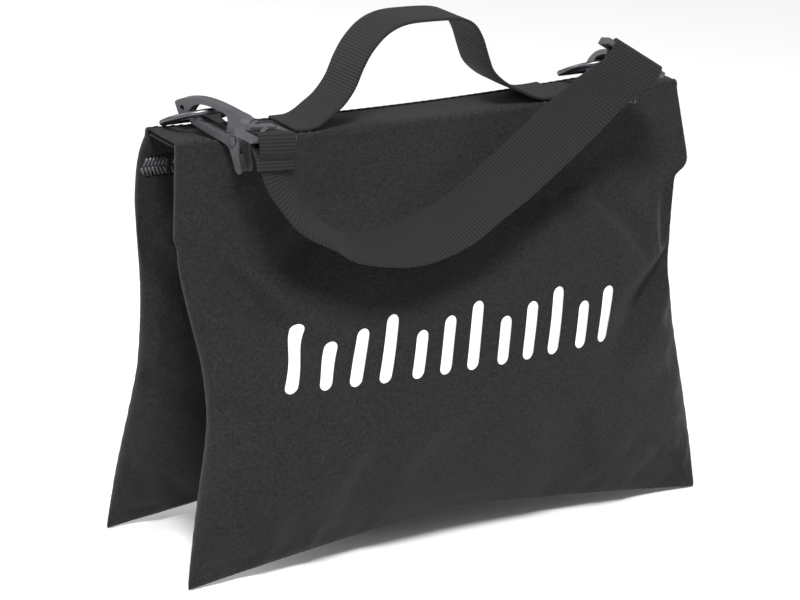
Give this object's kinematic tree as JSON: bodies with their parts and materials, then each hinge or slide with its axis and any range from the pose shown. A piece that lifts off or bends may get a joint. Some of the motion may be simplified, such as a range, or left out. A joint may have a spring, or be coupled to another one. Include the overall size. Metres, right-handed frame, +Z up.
{
  "type": "saddle sandbag",
  "caption": "Saddle sandbag: two filled cloth pouches hung from a flat band, with a webbing carry handle, zips and a clip-on shoulder strap.",
  "frame": {"origin": "on the floor, midway between the two pouches, at the middle of the bag's length", "axes": "+X along the band from the left clip to the right clip, -Y the printed front, +Z up"},
  "size_m": [0.4, 0.1671, 0.3476],
  "materials": {
    "bag_cloth": "woven nylon, matt",
    "webbing": "ribbed woven webbing",
    "zip_tape": "woven tape",
    "zip_coil": "nylon coil, satin",
    "zip_metal": "black enamel, satin",
    "ring_metal": "black nickel, satin",
    "clip_plastic": "moulded nylon, satin",
    "sand": "sealed inner bag of dry sand"
  },
  "bodies": {
    "saddle": {"band_top": "bag_cloth", "band_core": "webbing", "band_lining": "bag_cloth", "left_ring_tab": "webbing", "right_ring_tab": "webbing", "left_handle_foot": "webbing", "right_handle_foot": "webbing"},
    "handle": {"handle_webbing": "webbing"},
    "left_ring": {"left_d_ring": "ring_metal"},
    "right_ring": {"right_d_ring": "ring_metal"},
    "front_pouch": {"front_outer_panel": "bag_cloth", "front_inner_panel": "bag_cloth", "front_inner_strip": "bag_cloth", "front_sand_bag": "sand", "front_zip_tapes": "zip_tape", "front_zip_coil": "zip_coil", "front_zip_stops": "zip_metal"},
    "front_slider": {"front_zip_slider": "zip_metal"},
    "front_pull": {"front_zip_pull": "zip_metal"},
    "rear_pouch": {"rear_outer_panel": "bag_cloth", "rear_inner_panel": "bag_cloth", "rear_inner_strip": "bag_cloth", "rear_sand_bag": "sand", "rear_zip_tapes": "zip_tape", "rear_zip_coil": "zip_coil", "rear_zip_stops": "zip_metal"},
    "rear_slider": {"rear_zip_slider": "zip_metal"},
    "rear_pull": {"rear_zip_pull": "zip_metal"},
    "strap": {"shoulder_strap": "webbing", "left_strap_end": "webbing", "right_strap_end": "webbing", "left_strap_bow": "clip_plastic", "right_strap_bow": "clip_plastic"},
    "left_clip": {"left_clip_body": "clip_plastic", "left_clip_rivet": "ring_metal", "left_clip_spring": "zip_metal"},
    "left_gate": {"left_clip_gate": "clip_plastic"},
    "right_clip": {"right_clip_body": "clip_plastic", "right_clip_rivet": "ring_metal", "right_clip_spring": "zip_metal"},
    "right_gate": {"right_clip_gate": "clip_plastic"}
  },
  "joints": [
    {"name": "front_pouch_swing", "type": "hinge", "parent": "saddle", "child": "front_pouch", "pos_m": [0, -0.0224, 0.2818], "axis": [1, 0, 0], "range_deg": [-8, 2]},
    {"name": "rear_pouch_swing", "type": "hinge", "parent": "saddle", "child": "rear_pouch", "pos_m": [0, 0.0224, 0.2818], "axis": [1, 0, 0], "range_deg": [-2, 85]},
    {"name": "handle_flop", "type": "hinge", "parent": "saddle", "child": "handle", "pos_m": [0, 0, 0.286], "axis": [1, 0, 0], "range_deg": [-15, 15]},
    {"name": "strap_swing", "type": "hinge", "parent": "saddle", "child": "strap", "pos_m": [0, 0.018, 0.289], "axis": [1, 0, 0], "range_deg": [-140, 0]},
    {"name": "left_ring_turn", "type": "hinge", "parent": "saddle", "child": "left_ring", "pos_m": [-0.16, 0.018, 0.289], "axis": [1, 0, 0], "range_deg": [-140, 0]},
    {"name": "right_ring_turn", "type": "hinge", "parent": "saddle", "child": "right_ring", "pos_m": [0.143, 0.018, 0.289], "axis": [1, 0, 0], "range_deg": [-140, 0]},
    {"name": "left_clip_swivel", "type": "hinge", "parent": "strap", "child": "left_clip", "pos_m": [-0.142, -0.056, 0.2926], "axis": [-0.3715, 0.9022, 0.2189], "range_deg": [-5, 5]},
    {"name": "right_clip_swivel", "type": "hinge", "parent": "strap", "child": "right_clip", "pos_m": [0.128, -0.06, 0.317], "axis": [0.1962, 0.955, -0.2224], "range_deg": [-5, 5]},
    {"name": "left_gate_turn", "type": "hinge", "parent": "left_clip", "child": "left_gate", "pos_m": [-0.15243, -0.03068, 0.28747], "axis": [0.9247, 0.3808, 0], "range_deg": [0, 2.5], "stiffness_Nm_per_rad": 0.02, "springref_deg": -17.19},
    {"name": "right_gate_turn", "type": "hinge", "parent": "right_clip", "child": "right_gate", "pos_m": [0.13253, -0.03795, 0.30058], "axis": [0.9795, -0.2013, 0], "range_deg": [0, 2.5], "stiffness_Nm_per_rad": 0.02, "springref_deg": -17.19},
    {"name": "front_zip_slide", "type": "slide", "parent": "front_pouch", "child": "front_slider", "axis": [-1, 0, 0], "range_m": [0, 0.32]},
    {"name": "rear_zip_slide", "type": "slide", "parent": "rear_pouch", "child": "rear_slider", "axis": [-1, 0, 0], "range_m": [0, 0.32]},
    {"name": "front_pull_flip", "type": "hinge", "parent": "front_slider", "child": "front_pull", "pos_m": [0.1635, -0.01535, 0.25966], "axis": [0, 0.134, 0.991], "range_deg": [-150, 0]},
    {"name": "rear_pull_flip", "type": "hinge", "parent": "rear_slider", "child": "rear_pull", "pos_m": [0.1635, 0.01535, 0.25966], "axis": [0, -0.134, 0.991], "range_deg": [0, 150]}
  ],
  "couplings": [
    {"joint": "left_ring_turn", "follows": "strap_swing", "ratio": 1},
    {"joint": "right_ring_turn", "follows": "strap_swing", "ratio": 1}
  ]
}
